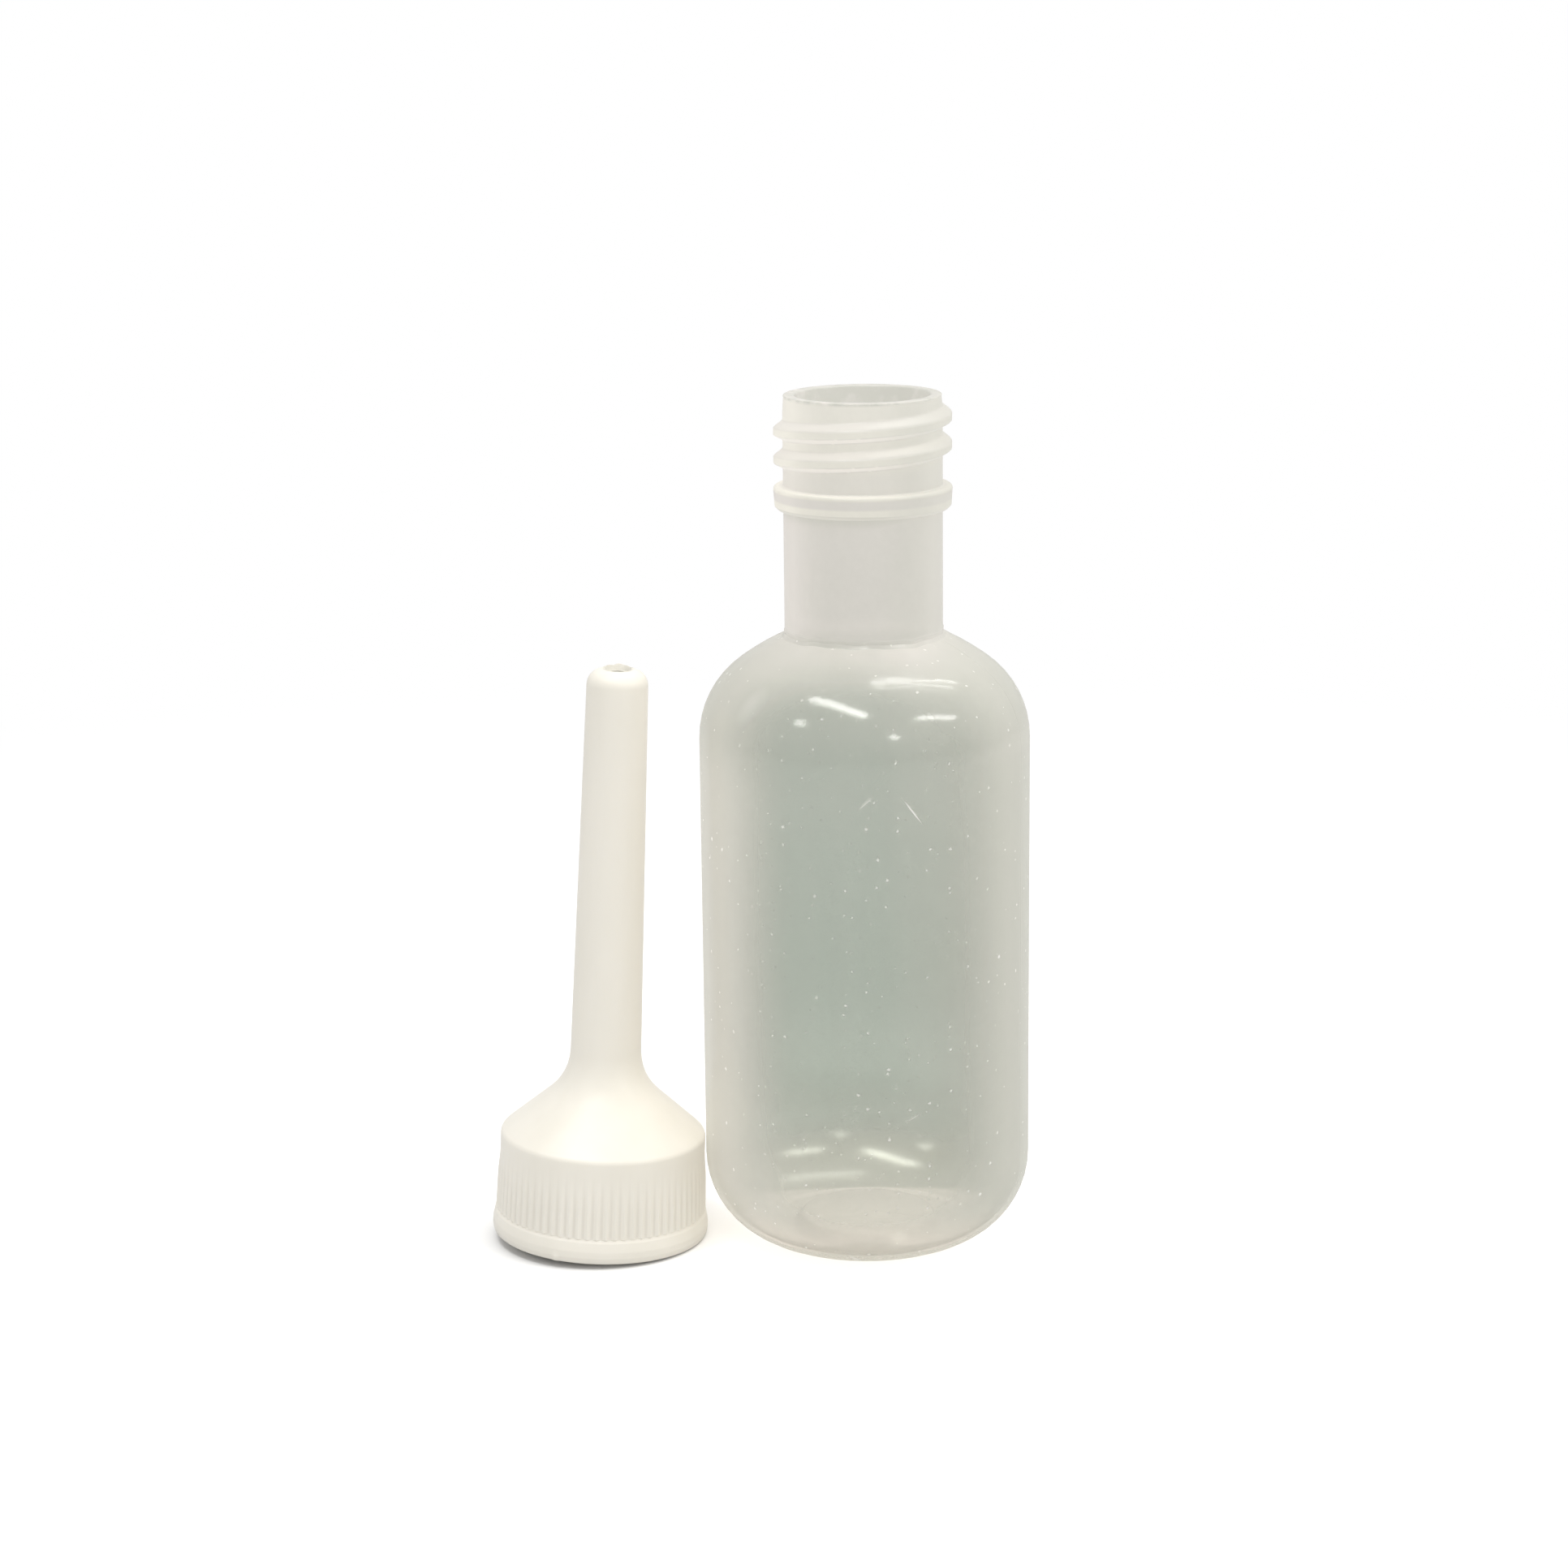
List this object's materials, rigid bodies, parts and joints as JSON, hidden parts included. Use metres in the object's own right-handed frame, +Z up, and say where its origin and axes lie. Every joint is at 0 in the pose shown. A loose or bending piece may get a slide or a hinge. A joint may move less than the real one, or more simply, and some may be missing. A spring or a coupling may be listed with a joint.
{
  "type": "enema bottle",
  "caption": "Small round squeeze bottle of translucent plastic with a threaded neck, and its white screw cap with a long straight nozzle standing beside it.",
  "frame": {"origin": "middle of the bounding box at the level of the table", "axes": "+Z up along the bottle's axis, +X from the nozzle cap towards the bottle, +Y away from the viewer of the picture"},
  "size_m": [0.0628, 0.0376, 0.0985],
  "materials": {
    "natural_ldpe": "natural translucent low-density polyethylene, blow moulded, soft satin",
    "white_pe": "white polyethylene, injection moulded, soft gloss",
    "washer_foam": "white foamed elastomer, matt"
  },
  "bodies": {
    "bottle": {"bottle": "natural_ldpe"},
    "washer": {"sealing_washer": "washer_foam"},
    "cap": {"nozzle_cap": "white_pe"}
  },
  "joints": [
    {"name": "cap_lift", "type": "slide", "parent": "bottle", "child": "washer", "axis": [-0.1392, 0, 0.9903], "range_m": [0, 0.105]},
    {"name": "cap_turn", "type": "hinge", "parent": "washer", "child": "cap", "pos_m": [-0.01885, 0, 0.00064], "axis": [0.0523, 0, 0.9986], "continuous": true}
  ]
}
